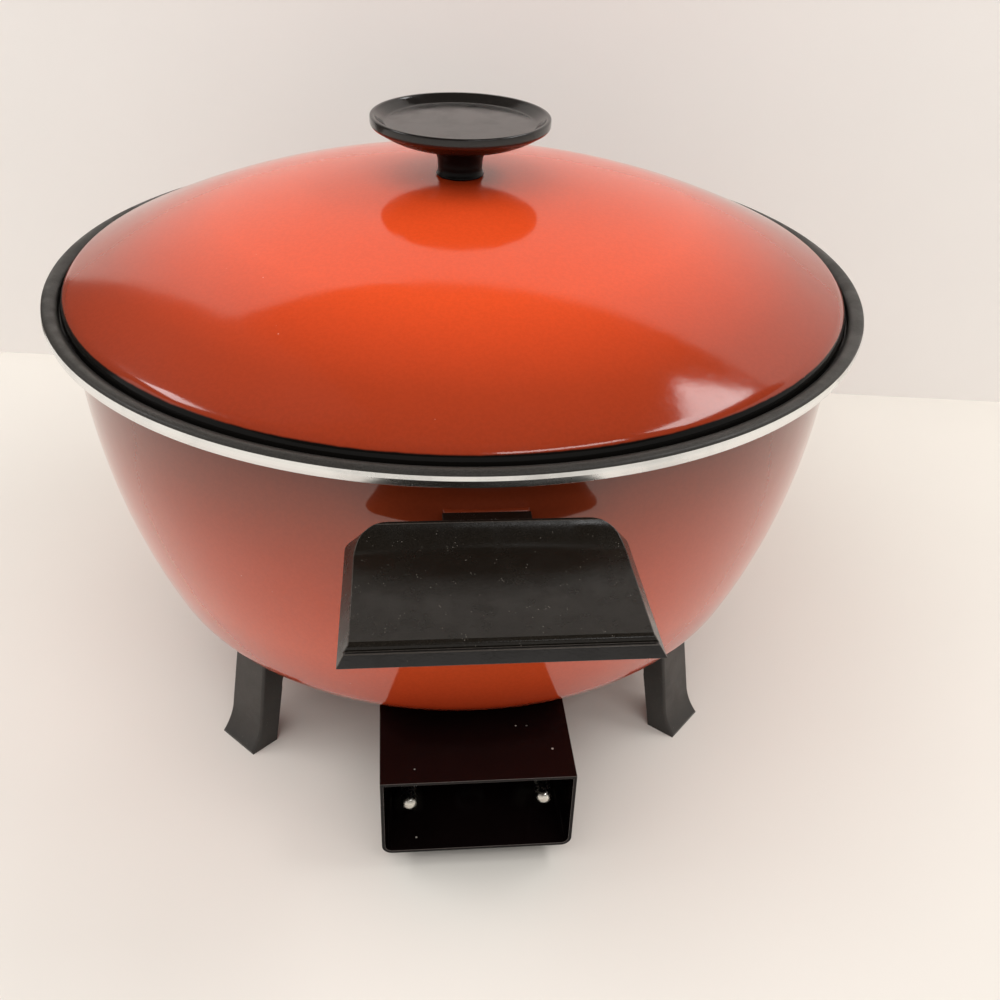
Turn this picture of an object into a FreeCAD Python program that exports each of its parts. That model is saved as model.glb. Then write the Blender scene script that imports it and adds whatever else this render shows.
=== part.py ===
import FreeCAD, Part
import math
import os

import Sketcher

# An electric skillet: a deep enamelled aluminium bowl on four moulded legs, with a
# drop-in domed lid, two wing handles and a hood over the socket for the heat control.
# Millimetres, +Z up. The origin is on the bowl's axis, on the surface the feet stand on.
# The socket hood points along -Y, and the handles lie along Y.

os.makedirs("parts", exist_ok=True)
document = FreeCAD.newDocument("electric_skillet")
sheet = document.addObject("Spreadsheet::Sheet", "Sizes")
part_objects = {}


class Size:
    """A number together with the expression that gives it from the sheet."""

    def __init__(self, value, text):
        self.value = float(value)
        self.text = text

    def __add__(self, other):
        other = as_size(other)
        return Size(self.value + other.value, f"({self.text} + {other.text})")

    def __radd__(self, other):
        return as_size(other) + self

    def __sub__(self, other):
        other = as_size(other)
        return Size(self.value - other.value, f"({self.text} - {other.text})")

    def __rsub__(self, other):
        return as_size(other) - self

    def __mul__(self, other):
        other = as_size(other)
        return Size(self.value * other.value, f"({self.text} * {other.text})")

    def __rmul__(self, other):
        return as_size(other) * self

    def __truediv__(self, other):
        other = as_size(other)
        return Size(self.value / other.value, f"({self.text} / {other.text})")

    def __neg__(self):
        return Size(-self.value, f"(0 - {self.text})")


def as_size(number):
    if isinstance(number, Size):
        return number
    return Size(number, repr(number))


def root(number):
    return Size(math.sqrt(number.value), f"sqrt({number.text})")


def cosine(angle):
    return Size(math.cos(math.radians(angle.value)), f"cos({angle.text})")


def sine(angle):
    return Size(math.sin(math.radians(angle.value)), f"sin({angle.text})")


def size(alias, value, meaning):
    """Write one driving dimension into the sheet and give it back as a Size."""
    row = size.row = getattr(size, "row", 0) + 1
    sheet.set(f"A{row}", meaning)
    sheet.set(f"B{row}", str(value))
    sheet.setAlias(f"B{row}", alias)
    return Size(value, f"Sizes.{alias}")


# Bowl
rim_radius = size("rim_radius", 130, "outermost radius of the bowl's rim")
base_level = size("base_level", 36, "underside of the bowl's base above the table")
bowl_depth = size("bowl_depth", 104, "rim's widest circle down to the outside of the base")
wall_inset = size("wall_inset", 8, "rim's widest circle in to the outside of the wall")
wall_straight = size("wall_straight", 10, "rim's widest circle down to where the wall starts to curve in")
wall_curve = size("wall_curve", 223, "radius of the wall's long inward curve")
corner_radius = size("corner_radius", 16, "outside radius where the wall turns into the base")
wall_thickness = size("wall_thickness", 3, "thickness of the bowl's wall")
base_thickness = size("base_thickness", 5, "thickness of the bowl's base")
base_skin = size("base_skin", 1.5, "metal left above the screw holes in the base")
band_above = size("band_above", 1.8, "bare edge band above the widest circle")
band_below = size("band_below", 2, "bare edge band below the widest circle")
band_bevel = size("band_bevel", 0.4, "how far the band's two facets fall back")
crest_radius = size("crest_radius", 3.4, "radius of the flange's rounded crest")
crest_fall = size("crest_fall", 1, "crest's inner foot above the widest circle")
ledge_depth = size("ledge_depth", 1, "lid ledge below the widest circle")
ledge_thickness = size("ledge_thickness", 3, "metal under the lid ledge")
ledge_round = size("ledge_round", 1, "rounding of the ledge's inner edge")
rim_width = size("rim_width", 5, "rim's widest circle in to the recess that the lid drops into")

# Lid and knob
lid_gap = size("lid_gap", 0.6, "radial gap between the lid's edge and the recess")
lid_rise = size("lid_rise", 32.5, "top of the dome above the rim's widest circle")
lid_skirt = size("lid_skirt", 0.9, "height of the lid's straight edge under its roll")
lid_roll = size("lid_roll", 6, "outside radius of the lid's turned-down edge")
lid_sheet = size("lid_sheet", 1.6, "thickness of the lid's sheet")
knob_radius = size("knob_radius", 27.8, "outside radius of the knob's dish")
knob_height = size("knob_height", 18.4, "knob's dish rim above the top of the lid")
dish_edge = size("dish_edge", 3.4, "height of the dish's outer edge")
dish_lip = size("dish_lip", 1.2, "width of the raised lip round the dish")
dish_slope = size("dish_slope", 3.2, "run of the slope inside the dish's lip")
dish_sink = size("dish_sink", 2.4, "how deep the dish's floor lies")
dish_depth = size("dish_depth", 8.6, "dish's rim down to where its belly meets the neck")
dish_belly = size("dish_belly", 28, "radius of the dish's rounded underside")
edge_round = size("edge_round", 0.8, "rounding of the dish's outer edges")
neck_flare = size("neck_flare", 2.6, "how far the neck flares out below the dish")
neck_round = size("neck_round", 6.8, "radius of the neck's flare")
neck_straight = size("neck_straight", 1.5, "straight length of the neck")
foot_edge = size("foot_edge", 0.8, "height of the foot's edge")
foot_height = size("foot_height", 3, "top of the foot's curve above the lid")
foot_round = size("foot_round", 3, "radius of the foot's curve")
neck_radius = size("neck_radius", 7, "narrowest radius of the knob's neck")
foot_radius = size("foot_radius", 7.5, "radius of the knob's foot on the lid")
knob_screw_radius = size("knob_screw_radius", 2.5, "shank radius of the knob's screw")
knob_screw_bite = size("knob_screw_bite", 11, "how far the screw reaches into the knob")
knob_head_radius = size("knob_head_radius", 4.8, "radius of the knob screw's head")
head_bevel = size("head_bevel", 0.8, "bevel of the knob screw's head")
washer_radius = size("washer_radius", 9, "radius of the washer inside the lid")
washer_thickness = size("washer_thickness", 1.2, "thickness of the washer inside the lid")

# Wing handles
neck_run = size("neck_run", 0.6, "boss to the handle's back edge, at the underside")
handle_length = size("handle_length", 48.5, "handle's back edge to its front edge, at the underside")
handle_back_width = size("handle_back_width", 69.6, "width at the back, at the underside")
handle_front_width = size("handle_front_width", 71.2, "width at the front, at the underside")
handle_bottom = size("handle_bottom", 19.7, "handle's underside below the rim's widest circle")
handle_thickness = size("handle_thickness", 4, "handle's thickness along its flat top")
handle_lip = size("handle_lip", 4, "how far the back edge curls up over the flat top")
handle_curl = size("handle_curl", 10, "radius of the curl towards the back edge")
handle_draft = size("handle_draft", 33, "slope of the handle's flanks in degrees")
handle_corner = size("handle_corner", 7, "radius of the handle's back corners")
handle_land = size("handle_land", 6.2, "underside's back edge to the inside of the top lip")
handle_nose = size("handle_nose", 1.4, "rounding and depth of the step along the front edge")
handle_nose_run = size("handle_nose_run", 2.8, "underside's front edge in to the step")
handle_groove = size("handle_groove", 0.3, "depth of the groove along the step")
handle_wall = size("handle_wall", 3, "wall left round the hollow underside")
handle_skin = size("handle_skin", 2, "material left over the hollow underside")
handle_rib = size("handle_rib", 2.4, "thickness of the ribs in the hollow underside")
bracket_width = size("bracket_width", 22, "width of the handle's steel bracket")
bracket_sheet = size("bracket_sheet", 2, "thickness of the bracket's steel")
bracket_bend = size("bracket_bend", 1.5, "inside radius of the bracket's bend")
bracket_drop = size("bracket_drop", 17, "how far the bracket hangs below the handle's underside")
bracket_reach = size("bracket_reach", 20, "how far the bracket runs out under the handle")
bracket_screw_spacing = size("bracket_screw_spacing", 12, "distance between a bracket's two wall screws")
bracket_screw_fall = size("bracket_screw_fall", 11, "handle's underside down to the wall screws")
boss_stand = size("boss_stand", 0.6, "boss's flat face beyond the outside of the wall")
boss_root = size("boss_root", 2.5, "how deep the bosses are rooted in the wall")
boss_skin = size("boss_skin", 0.8, "least metal left behind the bracket's screw holes")
boss_width = size("boss_width", 21, "width of the handle bosses")
boss_drop = size("boss_drop", 13.4, "rim's widest circle down to the top of the handle bosses")
boss_height = size("boss_height", 24, "height of the handle bosses")
handle_screw_radius = size("handle_screw_radius", 2, "shank radius of the handle screws")
handle_screw_inset = size("handle_screw_inset", 11.6, "bracket's end in to the handle screw")
handle_screw_bite = size("handle_screw_bite", 3.4, "how far the handle screws reach into the handle")

# Legs
leg_angle = size("leg_angle", 47.5, "angle of each leg from the Y axis in degrees")
leg_shoulder = size("leg_shoulder", 4.8, "edge of the flat base out to the leg's outer face")
leg_flare = size("leg_flare", 4.5, "how far the foot flares out beyond the ankle")
leg_width_top = size("leg_width_top", 13.8, "leg's width level with the top of the bowl's corner")
leg_width_foot = size("leg_width_foot", 16.4, "leg's width at the table")
leg_thickness = size("leg_thickness", 5.5, "leg's thickness from outer to inner face")
leg_flare_height = size("leg_flare_height", 9, "height at which the foot starts to flare")
leg_arm_length = size("leg_arm_length", 29.5, "leg's outer face in to the end of its arm")
leg_arm_thickness = size("leg_arm_thickness", 6.5, "thickness of the arm under the base")
leg_web = size("leg_web", 9, "radius of the web between arm and leg")
leg_toe = size("leg_toe", 1, "height of the foot's square toe")
leg_lean = size("leg_lean", 4.5, "how far the leg leans out by the table")
leg_seat_inset = size("leg_seat_inset", 2, "edge of the flat base in to the end of the leg's seat")
leg_edge = size("leg_edge", 1, "rounding of the leg's outer edges")
leg_top_gap = size("leg_top_gap", 0.3, "gap between the leg's shoulder and the bowl's corner")

# Fasteners into the base
screw_radius = size("screw_radius", 2, "shank radius of the screws into the base")
head_radius = size("head_radius", 3.6, "radius of the screw heads")
head_height = size("head_height", 2.2, "height of the screw heads")
screw_clearance = size("screw_clearance", 0.3, "radial gap round a screw in the piece it holds")
thread_clearance = size("thread_clearance", 0.05, "radial gap of a screw in its tapped hole")
thread_run = size("thread_run", 0.5, "tapped hole's depth beyond the screw's tip")

# Heating element
element_inset = size("element_inset", 32.74, "edge of the flat base in to the element's loop")
element_radius = size("element_radius", 3.5, "radius of the element's sheath")
element_bend = size("element_bend", 10, "radius of the bends in the element's legs")
element_gap = size("element_gap", 0.1, "gap between the element and the base")
element_slope = size("element_slope", 45, "slope of the element's legs in degrees")
element_seat = size("element_seat", 1.5, "straight end of the element behind its insulator")
clip_sheet = size("clip_sheet", 1.2, "thickness of the element clips")
clip_width = size("clip_width", 10, "width of the element clips")
clip_foot = size("clip_foot", 12, "length of each clip's foot on the base")
clip_gap = size("clip_gap", 0.2, "gap between clip and element")

# Socket for the heat control
hood_width = size("hood_width", 57, "outside width of the socket hood")
hood_clearance = size("hood_clearance", 6.7, "underside of the hood above the table")
hood_overlap = size("hood_overlap", 14.74, "edge of the flat base in to the hood's back edge")
hood_length = size("hood_length", 50, "length of the hood")
hood_sheet = size("hood_sheet", 1, "thickness of the hood's sheet")
hood_bend = size("hood_bend", 3.2, "outside radius of the hood's lower bends")
hood_screw_spacing = size("hood_screw_spacing", 18, "distance between the hood's two screws")
hood_screw_inset = size("hood_screw_inset", 7, "hood's back edge to its screws")
plate_setback = size("plate_setback", 33.5, "hood's mouth to the face of the terminal plate")
plate_thickness = size("plate_thickness", 1.5, "thickness of the terminal plate")
pin_spacing = size("pin_spacing", 40.2, "distance between the terminal pins")
pin_radius = size("pin_radius", 2.38, "radius of the terminal pins")
pin_drop = size("pin_drop", 14, "underside of the base down to the terminal pins")
pin_shank = size("pin_shank", 2, "radius of the pins' shanks in the insulators")
pin_relief = size("pin_relief", 0.5, "shank left bare in front of the insulators")
pin_setback = size("pin_setback", 4, "hood's mouth to the tips of the pins")
pin_nose = size("pin_nose", 2, "rounding of the pins' tips")
insulator_radius = size("insulator_radius", 4.6, "radius of the insulator's barrel")
insulator_flange = size("insulator_flange", 6.2, "radius of the insulator's flange")
insulator_depth = size("insulator_depth", 3, "thickness of the insulator's flange")
insulator_nose = size("insulator_nose", 2.5, "insulator's barrel in front of the plate")
seat_gap = size("seat_gap", 0.1, "radial gap of round pieces in their seats")
sensor_bore = size("sensor_bore", 3.5, "bore radius of the sensor tube")
sensor_wall = size("sensor_wall", 1.2, "wall of the sensor tube")
sensor_length = size("sensor_length", 66, "length of the sensor tube")
sensor_nose = size("sensor_nose", 2, "sensor tube in front of the terminal plate")
block_width = size("block_width", 18, "width of the sensor block")
block_length = size("block_length", 26, "length of the sensor block")
block_under = size("block_under", 4, "sensor block below the sensor tube's wall")
block_overrun = size("block_overrun", 3, "sensor block beyond the tube's closed end")
block_bevel = size("block_bevel", 3, "bevel of the sensor block's lower edges")

# Levels and places worked out from the sizes
nought = Size(0, "0")
rim_height = base_level + bowl_depth
recess_radius = rim_radius - rim_width
wall_top_radius = rim_radius - wall_inset
wall_top = rim_height - wall_straight
wall_center = wall_top_radius - wall_curve
inner_radius = wall_top_radius - wall_thickness
floor_level = base_level + base_thickness
screw_bite = base_thickness - base_skin


def bowl_corner(radius, floor, curve):
    """Centre of the corner's arc along X, and where it meets the wall's curve."""
    drop = wall_top - floor - radius
    reach = curve - radius
    centre = wall_center + root(reach * reach - drop * drop)
    share = curve / reach
    return centre, wall_center + (centre - wall_center) * share, wall_top - drop * share


base_edge, corner_join_x, corner_join_z = bowl_corner(corner_radius, base_level, wall_curve)
lid_radius = recess_radius - lid_gap
lid_top = rim_height + lid_rise
ledge_level = rim_height - ledge_depth
boss_face = wall_top_radius + boss_stand
boss_top = rim_height - boss_drop
boss_bite = boss_face - inner_radius - boss_skin
handle_seat = rim_height - handle_bottom
handle_start = boss_face + neck_run
handle_end = handle_start + handle_length
handle_screw_place = boss_face + bracket_reach - handle_screw_inset
bracket_screw_level = handle_seat - bracket_screw_fall
leg_face = base_edge + leg_shoulder
leg_inner = leg_face - leg_thickness
leg_arm_start = leg_face - leg_arm_length
leg_screw_place = (leg_arm_start + leg_inner - leg_web) / 2
element_ring = base_edge - element_inset
element_level = base_level - element_radius - element_gap
hood_back = base_edge - hood_overlap
hood_front = hood_back + hood_length
plate_face = hood_front - plate_setback
plate_back = plate_face - plate_thickness
insulator_back = plate_back - insulator_depth
insulator_front = plate_face + insulator_nose
pin_level = base_level - pin_drop
pin_tip = hood_front - pin_setback
front_angle = Size(-90, "(0 - 90)")
rear_angle = Size(90, "90")
touch = 0.01


class Outline:
    """A closed sketch of lines and arcs whose corners are pinned to sheet sizes."""

    def __init__(self, body, name, plane, lift=None):
        self.sketch = body.newObject("Sketcher::SketchObject", name)
        support = [f for f in body.Origin.OriginFeatures if f.Role == plane][0]
        self.sketch.AttachmentSupport = (support, [""])
        self.sketch.MapMode = "FlatFace"
        if lift is not None:
            self.sketch.AttachmentOffset = FreeCAD.Placement(
                FreeCAD.Vector(0, 0, lift.value), FreeCAD.Rotation()
            )
            self.sketch.setExpression("AttachmentOffset.Base.z", lift.text)
        self.corners = []
        self.steps = []

    def pin(self, geometry, position, x, y):
        """Tie one point of the sketch to the sizes x and y."""
        for axis, line, number in (("DistanceX", -2, x), ("DistanceY", -1, y)):
            if number.value == 0:
                self.sketch.addConstraint(
                    Sketcher.Constraint("PointOnObject", geometry, position, line)
                )
                continue
            index = self.sketch.addConstraint(
                Sketcher.Constraint(axis, -1, 1, geometry, position, number.value)
            )
            self.sketch.setExpression(f"Constraints[{index}]", number.text)

    def start(self, x, y):
        self.corners = [(as_size(x), as_size(y))]
        self.steps = []
        return self

    def line(self, x, y):
        self.corners.append((as_size(x), as_size(y)))
        self.steps.append(None)
        return self

    def arc(self, x, y, radius, turn):
        """An arc to (x, y). turn is 1 when it runs anticlockwise and -1 when clockwise."""
        self.corners.append((as_size(x), as_size(y)))
        self.steps.append((as_size(radius), turn))
        return self

    def close(self):
        """Draw the outline. The last corner joins the first, by a line unless they coincide."""
        first, last = self.corners[0], self.corners[-1]
        if abs(first[0].value - last[0].value) + abs(first[1].value - last[1].value) > 1e-6:
            self.line(*first)
        ends = []
        for (a, b), step in zip(zip(self.corners, self.corners[1:]), self.steps):
            ends.append(self.draw_line(a, b) if step is None else self.draw_arc(a, b, *step))
        for index, (geometry, begin, _) in enumerate(ends):
            before, _, finish = ends[index - 1]
            self.sketch.addConstraint(
                Sketcher.Constraint("Coincident", before, finish, geometry, begin)
            )
            self.pin(geometry, begin, *self.corners[index])
        return self.sketch

    def draw_line(self, a, b):
        p = FreeCAD.Vector(a[0].value, a[1].value, 0)
        q = FreeCAD.Vector(b[0].value, b[1].value, 0)
        return self.sketch.addGeometry(Part.LineSegment(p, q), False), 1, 2

    def draw_arc(self, a, b, radius, turn):
        ax, ay, bx, by = a[0].value, a[1].value, b[0].value, b[1].value
        half = math.hypot(bx - ax, by - ay) / 2
        rise = math.sqrt(max(radius.value**2 - half**2, 0))
        nx, ny = -(by - ay) / (2 * half), (bx - ax) / (2 * half)
        cx = (ax + bx) / 2 + turn * nx * rise
        cy = (ay + by) / 2 + turn * ny * rise
        circle = Part.Circle(FreeCAD.Vector(cx, cy, 0), FreeCAD.Vector(0, 0, 1), radius.value)
        from_angle = math.atan2(ay - cy, ax - cx)
        to_angle = math.atan2(by - cy, bx - cx)
        if turn < 0:
            from_angle, to_angle = to_angle, from_angle
        geometry = self.sketch.addGeometry(Part.ArcOfCircle(circle, from_angle, to_angle), False)
        index = self.sketch.addConstraint(Sketcher.Constraint("Radius", geometry, radius.value))
        self.sketch.setExpression(f"Constraints[{index}]", radius.text)
        return (geometry, 1, 2) if turn > 0 else (geometry, 2, 1)

    def circle(self, x, y, radius):
        """Add a circle, pinned by its centre."""
        x, y, radius = as_size(x), as_size(y), as_size(radius)
        centre = FreeCAD.Vector(x.value, y.value, 0)
        shape = Part.Circle(centre, FreeCAD.Vector(0, 0, 1), radius.value)
        geometry = self.sketch.addGeometry(shape, False)
        index = self.sketch.addConstraint(Sketcher.Constraint("Radius", geometry, radius.value))
        self.sketch.setExpression(f"Constraints[{index}]", radius.text)
        self.pin(geometry, 3, x, y)
        return self


def rectangle(outline, left, bottom, right, top):
    outline.start(left, bottom).line(right, bottom).line(right, top).line(left, top)
    return outline.close()


def new_body(label):
    body = document.addObject("PartDesign::Body", label)
    body.Label = label
    part_objects[label] = body
    return body


def volume(body):
    document.recompute()
    return body.Shape.Volume


def revolve(body, sketch, name="turned"):
    feature = body.newObject("PartDesign::Revolution", name)
    feature.Profile = sketch
    feature.ReferenceAxis = (sketch, ["V_Axis"])
    feature.Angle = 360
    return feature


def pad(body, sketch, length, midplane=False, reverse=False, draft=None, name="raised"):
    feature = body.newObject("PartDesign::Pad", name)
    feature.Profile = sketch
    feature.Length = length.value
    feature.setExpression("Length", length.text)
    feature.SideType = "Symmetric" if midplane else "One side"
    feature.Reversed = reverse
    if draft is not None:
        feature.TaperAngle = -draft.value
        feature.setExpression("TaperAngle", (-draft).text)
    return feature


def pocket(body, sketch, length=None, midplane=False, reverse=False, name="cut"):
    """Cut a sketch out of the body, through everything where no length is given."""
    before = volume(body)
    feature = body.newObject("PartDesign::Pocket", name)
    feature.Profile = sketch
    if length is None:
        feature.Type = "ThroughAll"
    else:
        feature.Length = length.value
        feature.setExpression("Length", length.text)
    feature.SideType = "Symmetric" if midplane else "One side"
    feature.Reversed = reverse
    if not volume(body) < before:
        raise ValueError(f"{body.Label}: {name} cuts nothing")
    return feature


def fillet(body, radius, chosen, name="rounded"):
    """Round the edges of the body's present shape that chosen(edge) picks."""
    document.recompute()
    tip = body.Tip
    edges = [f"Edge{i + 1}" for i, edge in enumerate(tip.Shape.Edges) if chosen(edge)]
    if not edges:
        raise ValueError(f"{body.Label}: no edge for {name}")
    feature = body.newObject("PartDesign::Fillet", name)
    feature.Base = (tip, edges)
    feature.Radius = radius.value
    feature.setExpression("Radius", radius.text)
    return feature


def turn_about_axis(thing, angle):
    """Turn a sub-part about the bowl's axis. Angle 0 leaves it along +X."""
    axis = FreeCAD.Vector(0, 0, 1)
    thing.Placement = FreeCAD.Placement(
        FreeCAD.Vector(0, 0, 0), FreeCAD.Rotation(axis, angle.value)
    )
    thing.setExpression("Placement.Rotation.Angle", f"{angle.text} * 1 deg")


def add_bowl():
    """The deep bowl: flange, lid recess, long curved wall, flat base, handle bosses, holes."""
    body = new_body("pan_bowl")
    inner_corner = corner_radius - wall_thickness
    inner_curve = wall_curve - wall_thickness
    inner_x, inner_join_x, inner_join_z = bowl_corner(inner_corner, floor_level, inner_curve)

    o = Outline(body, "bowl_section", "XZ_Plane")
    o.start(0, base_level).line(base_edge, base_level)
    o.arc(corner_join_x, corner_join_z, corner_radius, 1)
    o.arc(wall_top_radius, wall_top, wall_curve, 1)
    o.line(wall_top_radius, ledge_level - ledge_thickness)
    o.line(rim_radius - band_bevel, rim_height - band_below)
    o.line(rim_radius, rim_height)
    o.line(rim_radius - band_bevel, rim_height + band_above)
    o.arc(recess_radius, rim_height + crest_fall, crest_radius, 1)
    o.line(recess_radius, ledge_level)
    o.line(inner_radius + ledge_round, ledge_level)
    o.arc(inner_radius, ledge_level - ledge_round, ledge_round, 1)
    o.line(inner_radius, wall_top)
    o.arc(inner_join_x, inner_join_z, inner_curve, -1)
    o.arc(inner_x, floor_level, inner_corner, -1)
    o.line(0, floor_level)
    revolve(body, o.close(), "bowl")

    # Flat-faced bosses that carry the handle brackets
    root_plane = wall_top_radius - boss_root
    half = boss_width / 2
    for name, side in (("front_boss", 1), ("rear_boss", -1)):
        lift = root_plane if side > 0 else -root_plane
        o = Outline(body, name + "_face", "XZ_Plane", lift)
        face = rectangle(o, -half, boss_top - boss_height, half, boss_top)
        pad(body, face, boss_face - root_plane, reverse=side < 0, name=name)

    # Blind tapped holes for the bracket screws
    spread = bracket_screw_spacing / 2
    for name, side in (("front_boss_holes", 1), ("rear_boss_holes", -1)):
        o = Outline(body, name + "_face", "XZ_Plane", boss_face if side > 0 else -boss_face)
        for x in (-spread, spread):
            o.circle(x, bracket_screw_level, screw_radius + thread_clearance)
        pocket(body, o.sketch, boss_bite, reverse=side < 0, name=name)

    # Blind tapped holes in the base for the legs, the hood and the element clips
    o = Outline(body, "base_holes_face", "XY_Plane", base_level)
    for x, y in leg_screw_places() + hood_screw_places() + clip_screw_places():
        o.circle(x, y, screw_radius + thread_clearance)
    pocket(body, o.sketch, screw_bite, reverse=True, name="base_holes")


def leg_screw_places():
    x = leg_screw_place * sine(leg_angle)
    y = leg_screw_place * cosine(leg_angle)
    return [(x, -y), (-x, -y), (x, y), (-x, y)]


def hood_screw_places():
    y = -(hood_back + hood_screw_inset)
    return [(hood_screw_spacing / 2, y), (-hood_screw_spacing / 2, y)]


def clip_screw_places():
    reach = clip_screw_reach()
    return [(reach, nought), (-reach, nought), (nought, reach)]


def clip_screw_reach():
    return element_ring - element_radius - clip_gap - clip_sheet - clip_foot / 2


def add_lid():
    """The domed lid: a spherical sheet whose edge rolls down into the bowl's recess."""
    body = new_body("lid_shell")
    hole = knob_screw_radius + screw_clearance
    roll_x = lid_radius - lid_roll
    roll_z = ledge_level + lid_skirt
    dome_height = lid_top - roll_z
    squares = roll_x * roll_x + dome_height * dome_height - lid_roll * lid_roll
    lid_curve = squares / ((dome_height - lid_roll) * 2)
    dome_center = lid_top - lid_curve
    reach = lid_curve - lid_roll
    inner_curve = lid_curve - lid_sheet

    def on_dome(x, curve):
        return dome_center + root(curve * curve - x * x)

    def join(curve):
        share = curve / reach
        return roll_x * share, dome_center + (roll_z - dome_center) * share

    inner_join = join(inner_curve)
    outer_join = join(lid_curve)
    o = Outline(body, "lid_section", "XZ_Plane")
    o.start(hole, on_dome(hole, inner_curve))
    o.arc(*inner_join, inner_curve, -1)
    o.arc(lid_radius - lid_sheet, roll_z, lid_roll - lid_sheet, -1)
    o.line(lid_radius - lid_sheet, ledge_level)
    o.line(lid_radius, ledge_level)
    o.line(lid_radius, roll_z)
    o.arc(*outer_join, lid_roll, 1)
    o.arc(hole, on_dome(hole, lid_curve), lid_curve, 1)
    revolve(body, o.close(), "dome")

    # Washer and screw that hold the knob from inside the lid
    washer_top = on_dome(washer_radius, inner_curve)
    washer_base = washer_top - washer_thickness
    body = new_body("knob_washer")
    o = Outline(body, "washer_section", "XZ_Plane")
    revolve(body, rectangle(o, hole, washer_base, washer_radius, washer_top), "washer")

    body = new_body("knob_screw")
    head_base = washer_base - head_height
    o = Outline(body, "screw_section", "XZ_Plane")
    o.start(0, head_base).line(knob_head_radius - head_bevel, head_base)
    o.line(knob_head_radius, head_base + head_bevel).line(knob_head_radius, washer_base)
    o.line(knob_screw_radius, washer_base)
    o.line(knob_screw_radius, lid_top + knob_screw_bite - thread_run)
    o.line(0, lid_top + knob_screw_bite - thread_run)
    revolve(body, o.close(), "screw")


def add_knob():
    """The dished knob on its waisted neck."""
    body = new_body("lid_knob")
    rim = lid_top + knob_height
    floor = rim - dish_sink
    tapped = knob_screw_radius + thread_clearance
    flare_radius = neck_radius + neck_flare
    flare_level = rim - dish_depth
    o = Outline(body, "knob_section", "XZ_Plane")
    o.start(tapped, lid_top).line(foot_radius, lid_top)
    o.line(foot_radius, lid_top + foot_edge)
    o.arc(neck_radius, lid_top + foot_height, foot_round, -1)
    o.line(neck_radius, lid_top + foot_height + neck_straight)
    o.arc(flare_radius, flare_level, neck_round, -1)
    o.arc(knob_radius - edge_round, rim - dish_edge, dish_belly, 1)
    o.arc(knob_radius, rim - dish_edge + edge_round, edge_round, 1)
    o.line(knob_radius, rim - edge_round)
    o.arc(knob_radius - edge_round, rim, edge_round, 1)
    o.line(knob_radius - dish_lip, rim)
    o.line(knob_radius - dish_lip - dish_slope, floor)
    o.line(0, floor)
    o.line(0, lid_top + knob_screw_bite)
    o.line(tapped, lid_top + knob_screw_bite)
    revolve(body, o.close(), "knob")


def add_handle(label, angle):
    """A moulded wing handle: drafted plate, curled back edge, stepped nose, ribbed underside."""
    body = new_body(label)
    bottom = handle_seat
    flat_top = bottom + handle_thickness
    lip_top = flat_top + handle_lip
    back, front = handle_back_width / 2, handle_front_width / 2

    o = Outline(body, "plate_plan", "XY_Plane", bottom)
    o.start(handle_start, -back).line(handle_end, -front).line(handle_end, front)
    o.line(handle_start, back)
    pad(body, o.close(), lip_top - bottom, draft=handle_draft, name="plate")

    def back_corner(edge):
        box = edge.BoundBox
        away = min(abs(box.YMin), abs(box.YMax))
        near_back = box.XMax < handle_start.value + handle_corner.value
        return box.ZLength > handle_thickness.value and near_back and away > back.value / 2

    fillet(body, handle_corner, back_corner, "back_corners")

    # Top face: a land on the back lip, the curl down to the flat, and the step at the nose
    land = handle_start + handle_land
    curl_run = root(handle_curl * 2 * handle_lip - handle_lip * handle_lip)
    step = handle_end - handle_nose_run
    above = lip_top + handle_lip
    beyond = handle_end + handle_lip
    o = Outline(body, "top_profile", "XZ_Plane")
    o.start(land, lip_top).arc(land + curl_run, flat_top, handle_curl, 1)
    o.line(step - handle_nose, flat_top)
    o.arc(step, flat_top - handle_nose, handle_nose, -1)
    o.line(step, flat_top - handle_nose - handle_groove)
    o.line(step + handle_groove * 2, flat_top - handle_nose)
    o.line(beyond, flat_top - handle_nose - handle_groove)
    o.line(beyond, above).line(land, above)
    pocket(body, o.close(), midplane=True, name="top")

    # Neck that runs in to the bowl's boss
    half = bracket_width / 2
    o = Outline(body, "neck_plan", "XY_Plane", bottom)
    neck = rectangle(o, boss_face, -half, land, half)
    pad(body, neck, boss_top - bottom, name="neck")

    # Hollow underside, with a rib across each half and a solid seat for the bracket
    inner = half + handle_rib
    slope = (front - back) / (handle_end - handle_start)
    near, far = handle_start + handle_wall, handle_end - handle_wall
    middle = (near + far) / 2
    o = Outline(body, "cells_face", "XY_Plane", bottom)
    for begin, end in ((near, middle - handle_rib / 2), (middle + handle_rib / 2, far)):
        first = back + (begin - handle_start) * slope - handle_wall
        last = back + (end - handle_start) * slope - handle_wall
        o.start(begin, inner).line(end, inner).line(end, last).line(begin, first).close()
        o.start(begin, -inner).line(end, -inner).line(end, -last).line(begin, -first).close()
    pocket(body, o.sketch, handle_thickness - handle_skin, reverse=True, name="cells")

    # Tapped hole for the screw that comes up through the bracket
    o = Outline(body, "screw_face", "XY_Plane", bottom)
    o.circle(handle_screw_place, 0, handle_screw_radius + thread_clearance)
    pocket(body, o.sketch, handle_screw_bite, reverse=True, name="screw_hole")
    turn_about_axis(body, angle)


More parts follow.
